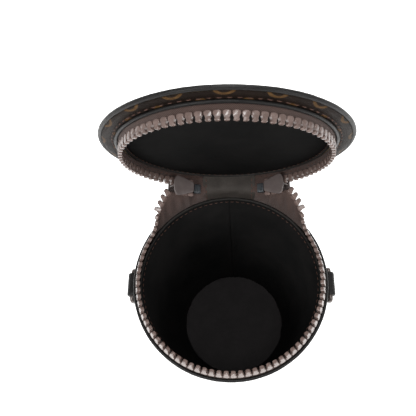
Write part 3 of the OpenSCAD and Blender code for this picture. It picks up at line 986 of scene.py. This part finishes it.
def patch_line(a, offset=0.0):
    """The patch's line from the cup to the lid at angle a, moved off its middle by offset, as points and normals"""
    c, s = math.cos(a), math.sin(a)
    points, normals = [], []

    def lid_point(z):
        return IN_LID @ Vector((CHAIN_R * c, CHAIN_R * s, z))

    start = Vector((CHAIN_R * c, CHAIN_R * s, ZIP_Z - 3.4 * MM))
    end = lid_point(3.4 * MM)
    rise = Vector((0, 0, 1))
    run = (IN_LID.to_3x3() @ Vector((0, 0, 1))).normalized()
    pull = (end - start).length * 0.5
    for z in np.linspace(WALL_TOP + 0.2 * MM, ZIP_Z - 4.0 * MM, 5):
        points.append(Vector((CHAIN_R * c, CHAIN_R * s, z)))
    for t in np.linspace(0, 1, 13):
        p0, p1, p2, p3 = start, start + rise * pull, end - run * pull, end
        points.append(p0 * (1 - t) ** 3 + p1 * 3 * t * (1 - t) ** 2 + p2 * 3 * t * t * (1 - t) + p3 * t**3)
    for z in np.linspace(4.0 * MM, ZIP_Z - WALL_TOP - 0.2 * MM, 5):
        points.append(lid_point(z))
    across = Vector((-s, c, 0))
    for i, p in enumerate(points):
        t = points[min(i + 1, len(points) - 1)] - points[max(i - 1, 0)]
        normals.append(t.cross(across).normalized())
    return [p + n * offset for p, n in zip(points, normals)], normals


def patch():
    """The hinge patch, with thinned edges and a sewn groove down each side"""
    half = [0.25, 0.5, 0.7, 0.8, 0.85, 0.9, 0.95, 0.985, 1.0]
    angles = [math.pi / 2 + PATCH_HALF * k for k in [-k for k in half[::-1]] + [0] + half]
    front, back = [], []
    for a in angles:
        k = abs(a - math.pi / 2) / PATCH_HALF
        edge = max(0.0, (k - 0.9) / 0.1)
        groove = 0.14 * bell(k - PATCH_SEAM, 0.035)
        thin = (0.52 - 0.3 * edge**2 - groove) * MM
        line, _ = patch_line(a, thin)
        front.append([p + Vector((0, 0, ripple(p, 0.006, 0.10 * MM, 3.0))) for p in line])
        back.append(patch_line(a, -0.42 * MM)[0])
    net = [f + b[::-1] for f, b in zip(front, back)]
    return sheet(net, lengths([n[0] for n in net], False), lengths(net[9], True), False, True, True)


patch_piece = piece("hinge_patch", patch(), PATCH, None, "hinge_leather", ["hinge_lower", "hinge_upper"])
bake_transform(patch_piece)
for side in (-1, 1):
    spots = []
    line, normals = patch_line(math.pi / 2 - side * PATCH_HALF * 0.87, 0.40 * MM)
    spots += line_spots(line[1:-1], normals[1:-1], 3.6)
    row = stitches("patch_stitches_" + ("left" if side < 0 else "right"), spots, None, 2.4, 0.55, 0.4)
    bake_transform(row)


# ---------------------------------------------------------------- end stops, sliders and pulls
def on_ring(side, park):
    """Places (s along the zip away from the hinge, h across it, d outward) on the lid's ring, in metres"""
    turn = Matrix.Rotation(math.radians(90 - side * park), 4, "Z")

    def place(s, h, d):
        a = -side * s / CHAIN_R
        r = CHAIN_R + d
        return turn @ Vector((r * math.cos(a), r * math.sin(a), h))

    return place


def end_stop(side):
    """A folded metal stop with four ribs round it"""
    place = on_ring(side, STOP_PARK)
    outline = smooth_outline(in_mm([(-2.1, -2.7), (2.1, -2.7), (2.1, 2.7), (-2.1, 2.7)]), 2)
    parts = [plate(outline, 2.0 * MM, 0.35 * MM, 0.0, place)]
    for i in range(4):
        at = (-1.62 + 1.08 * i) * MM
        section = circle(0.34 * MM, 10)
        loop = []
        for t in np.linspace(0, 2 * math.pi, 28, endpoint=False):
            square = [math.copysign(abs(v) ** 0.45, v) for v in (math.cos(t), math.sin(t))]
            loop.append(place(at, 2.62 * MM * square[0], 1.08 * MM * square[1]))
        middle = place(at + 5 * MM, 0, 0) - place(at - 5 * MM, 0, 0)
        parts.append(swept(loop, section, True, middle.normalized()))
    return joined(*parts)


def shield():
    """A slider's outline, wide towards positive s, away from the hinge"""
    half = [(7.0, 0.0), (6.95, 2.4), (6.3, 4.6), (5.3, 5.8), (4.3, 6.15)]
    half += [(2.4, 5.9), (-2.0, 4.55), (-5.6, 3.45), (-7.0, 2.8), (-7.0, 0.0)]
    return smooth_outline(in_mm(half + [(s, -h) for s, h in half[-2:0:-1]]), 2)


def slider(side):
    """Two plates, the post that parts the rows, and the bridge for the pull"""
    place = on_ring(side, SLIDER_PARK)
    outline = shield()
    parts = []
    for d in (-3.42, 3.42):
        parts.append(plate(outline, 1.0 * MM, 0.42 * MM, 0.22 * MM, lambda s, h, t, d=d: place(s, h, d * MM + t)))
    # the post between the rows, at the leading end
    parts.append(rounded_box((2.6 * MM, 0.66 * MM, 6.4 * MM), (5.2 * MM, 0, 0), 0.2 * MM, place))
    # the bridge over the outer plate
    half = [(-5.0, 3.3), (-5.05, 4.8), (-4.95, 5.9), (-4.5, 6.8), (-3.6, 7.3), (-2.0, 7.4)]
    arch = half + [(0.0, 7.4)] + [(-s, d) for s, d in half[::-1]]
    path = [place(s * MM, 0, d * MM) for s, d in arch]
    parts.append(swept(path, circle(0.9 * MM, 14), False, (0, 0, 1)))
    for s in (-5.0, 5.0):
        parts.append(rounded_box((1.9 * MM, 2.8 * MM, 0.9 * MM), (s * MM, 0, 4.1 * MM), 0.3 * MM, place))
    return joined(*parts)


BRIDGE_RISE = 7.4 * MM


def on_bridge(side):
    """Places (x down the hanging pull, y across it, z through it) at a slider's bridge"""
    park = math.radians(SLIDER_PARK)
    r = CHAIN_R + BRIDGE_RISE
    point = IN_LID @ Vector((side * r * math.sin(park), r * math.cos(park), 0))
    yaw = Matrix.Rotation(math.pi / 2 - side * math.atan(math.tan(park) * math.cos(LID_OPEN)), 4, "Z")
    turn = Matrix.Translation(point) @ yaw @ Matrix.Rotation(math.pi / 2, 4, "Y")
    return lambda x, y, z: turn @ Vector((x, y, z))


def pull_link(side):
    """The ring on the bridge, its neck, and the clamp that holds the leather"""
    place = on_bridge(side)
    turn = np.linspace(0, 2 * math.pi, 40, endpoint=False)
    loop = [place((0.4 + 2.45 * math.cos(t)) * MM, 0, 2.45 * MM * math.sin(t)) for t in turn]
    clamp = [(7.0, -4.6), (10.7, -4.75), (10.7, 4.75), (7.0, 4.6), (6.8, 2.0), (6.8, -2.0)]
    axis = place(0, 1, 0) - place(0, 0, 0)
    parts = [
        swept(loop, circle(0.56 * MM, 14), True, axis.normalized()),
        rounded_box((5.6 * MM, 1.6 * MM, 2.0 * MM), (5.0 * MM, 0, 0), 0.35 * MM, place),
        plate(smooth_outline(in_mm(clamp), 2), 3.5 * MM, 0.5 * MM, 0.05 * MM, place),
    ]
    return joined(*parts)


def pull_tab(side):
    """The leather tab with a round end, and the function that places points on it"""
    place = on_bridge(side)
    arc = [(34.3 + 3.9 * math.cos(t), 3.95 * math.sin(t)) for t in np.linspace(-math.pi / 2, math.pi / 2, 15)]
    sides = [(x, -3.95) for x in np.linspace(8.4, 32, 12)], [(x, 3.95) for x in np.linspace(32, 8.4, 12)]
    outline = in_mm(sides[0] + arc + sides[1])

    def soft(x, y, z):
        sway = ripple((x, side, 0), 0.02, 0.35 * MM, 2.0) * min(1.0, max(0.0, (x - 11 * MM) / (12 * MM)))
        return place(x, y, z + sway)

    return plate(outline, 2.3 * MM, 0.7 * MM, 0.12 * MM, soft), soft


for side, word in ((-1, "left"), (1, "right")):
    piece(word + "_stop", end_stop(side), STOP, "lid", "end_stop", [word + "_end_stop"], True, 45)
    piece(word + "_slider_body", slider(side), SLIDER, word + "_slider", "slider_paint", [word + "_slider"], True, 45)
    piece(word + "_link", pull_link(side), METAL, word + "_pull", "dark_metal", [word + "_pull_link"], False, 45)
    made, soft = pull_tab(side)
    piece(word + "_pull_leather", made, BLACK, word + "_pull", "black_leather", [word + "_pull_tab"])
    spots = []
    for face in (-1, 1):
        for edge in (-1, 1):
            line = [soft(x * MM, edge * 2.9 * MM, face * 1.16 * MM) for x in np.linspace(12, 34.5, 14)]
            normal = soft(20 * MM, 0, face * 1 * MM) - soft(20 * MM, 0, 0)
            spots += line_spots(line, [normal] * len(line), 3.2)
    stitches(word + "_pull_stitches", spots, word + "_pull", 2.2, 0.45, 0.36)


# ---------------------------------------------------------------- strap tabs and D-rings
TAB_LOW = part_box("right_strap_tab")[0].z


def strap_tab(side):
    """A leather tab that runs up the wall, round the D-ring's bar and down again"""
    layer = []
    for z in np.linspace(TAB_LOW, RING_Z - 3.0 * MM, 12):
        layer.append((wall_radius(z) + 0.42 * MM, z, 0.40, 1.0))
    for t in np.linspace(190, -50, 19):
        c, s = unit(t)
        layer.append((RING_X + 2.5 * MM * c, RING_Z + 2.5 * MM * s, 0.62, 0.0))
    for z in np.linspace(RING_Z - 5.4 * MM, TAB_LOW, 12):
        layer.append((wall_radius(z) + 1.22 * MM, z, 0.40, 1.0))
    path = np.array([(r, z) for r, z, _, _ in layer])
    tangent = np.gradient(path, axis=0)
    tangent /= np.linalg.norm(tangent, axis=1)[:, None]
    normal = np.stack([tangent[:, 1], -tangent[:, 0]], 1)
    net = []
    for k in (-1, -0.97, -0.9, -0.75, -0.5, -0.2, 0.2, 0.5, 0.75, 0.9, 0.97, 1):
        y = k * 6.9 * MM
        row = []
        for way in (1, -1):
            order = range(len(layer)) if way > 0 else range(len(layer) - 1, -1, -1)
            for i in order:
                r, z, half, follow = layer[i]
                thin = half * (1 - 0.35 * max(0.0, (abs(k) - 0.9) / 0.1)) * MM * way
                x, zz = r + normal[i][0] * thin, z + normal[i][1] * thin
                bend = (math.sqrt(r * r - y * y) - r) * follow
                row.append((side * (x + bend), y, zz))
        net.append(row)
    return sheet(net, lengths([n[0] for n in net], False), lengths(net[0], True), False, True, True)


def on_tab(side, y, z):
    """A point on a strap tab's outer face"""
    return side * math.sqrt((wall_radius(z) + 1.6 * MM) ** 2 - y * y), y, z


def d_ring(side):
    """A bent wire: a round bow below, and a straight bar above with small corners"""
    bow, corner = 9.2, 1.6
    path = [(bow * c, -3 - bow * s) for c, s in map(unit, np.linspace(0, 180, 33))]
    path += [(-bow + corner + corner * c, -corner + corner * s) for c, s in map(unit, np.linspace(180, 90, 7))]
    path += [(y, 0.0) for y in np.linspace(-6.4, 6.4, 7)]
    path += [(bow - corner + corner * c, -corner + corner * s) for c, s in map(unit, np.linspace(90, 0, 7))]
    points = [(side * RING_X, y * MM, RING_Z + z * MM) for y, z in path]
    return swept(points, circle(1.48 * MM, 20), True, (1, 0, 0))


for side, word in ((-1, "left"), (1, "right")):
    piece(word + "_tab_leather", strap_tab(side), BLACK, "cup", "black_leather", [word + "_strap_tab"])
    piece(word + "_ring", d_ring(side), METAL, word + "_ring", "dark_metal", [word + "_d_ring"])
    spots = []
    for y in (-5.2 * MM, 5.2 * MM):
        line = [on_tab(side, y, z) for z in np.linspace(TAB_LOW + 1.5 * MM, RING_Z - 7 * MM, 8)]
        spots += line_spots(line, [(side, 0, 0)] * len(line), 3.6)
    for z in (TAB_LOW + 1.6 * MM, RING_Z - 6.9 * MM):
        line = [on_tab(side, y, z) for y in np.linspace(-5.0 * MM, 5.0 * MM, 7)]
        spots += line_spots(line, [(side, 0, 0)] * len(line), 3.3)
    stitches(word + "_tab_stitches", spots, "cup", 2.4, 0.55, 0.4)


# ---------------------------------------------------------------- the CAD pieces that stay
for node, look in (
    ("body_board", BOARD),
    ("base_board", BOARD),
    ("lid_board", BOARD),
    ("base_piping_cord", CORE),
    ("rim_piping_cord", CORE),
    ("lid_edge_piping_cord", CORE),
    ("lid_rim_piping_cord", CORE),
):
    mesh = frame["nodes"][node].data
    mesh.materials.clear()
    mesh.materials.append(look)

# ---------------------------------------------------------------- floor, light and camera
floor_mesh = bpy.data.meshes.new("floor")
floor_mesh.from_pydata([(-3, -3, 0), (3, -3, 0), (3, 3, 0), (-3, 3, 0)], [], [(0, 1, 2, 3)])
floor = bpy.data.objects.new("floor", floor_mesh)
floor.location.z = -0.05 * MM
bpy.context.scene.collection.objects.link(floor)
pale = bpy.data.materials.new("pale_floor")
pale.use_nodes = True
for socket, value in (
    ("Base Color", (0.90, 0.90, 0.89, 1)),
    ("Roughness", 0.8),
    ("Emission Color", (1.0, 1.0, 1.0, 1)),
    ("Emission Strength", 0.9),
):
    pale.node_tree.nodes["Principled BSDF"].inputs[socket].default_value = value
floor_mesh.materials.append(pale)

world = bpy.data.worlds.new("studio")
bpy.context.scene.world = world
world.use_nodes = True
world.node_tree.nodes["Background"].inputs["Color"].default_value = (1.0, 1.0, 1.0, 1)
world.node_tree.nodes["Background"].inputs["Strength"].default_value = 0.35


def soft_light(name, place, aim, size, power):
    """A round area light at a place, aimed at a point"""
    data = bpy.data.lights.new(name, "AREA")
    data.shape = "DISK"
    data.size = size
    data.energy = power
    light = bpy.data.objects.new(name, data)
    light.location = place
    light.rotation_euler = (Vector(aim) - Vector(place)).to_track_quat("-Z", "Y").to_euler()
    bpy.context.scene.collection.objects.link(light)


soft_light("key", (-0.50, -0.55, 0.80), (0, 0.03, 0.15), 0.5, 5)
soft_light("fill", (0.70, -0.45, 0.60), (0, 0.03, 0.15), 0.5, 2.5)
soft_light("top", (0.1, 0.70, 0.95), (0, 0.0, 0.1), 0.5, 7)
soft_light("inside", (0.03, -0.12, 1.1), (0, 0.0, 0.0), 0.3, 3)

bpy.context.scene.view_settings.view_transform = "Standard"
camera = bpy.data.objects.new("camera", bpy.data.cameras.new("camera"))
camera.data.lens = 46
camera.data.sensor_width = 36
camera.data.clip_start = 0.01
camera.location = (0.0075, -0.084, 0.437)
camera.rotation_mode = "ZYX"
camera.rotation_euler = (math.radians(23.2), math.radians(3.6), math.radians(-0.8))
bpy.context.scene.collection.objects.link(camera)
bpy.context.scene.camera = camera
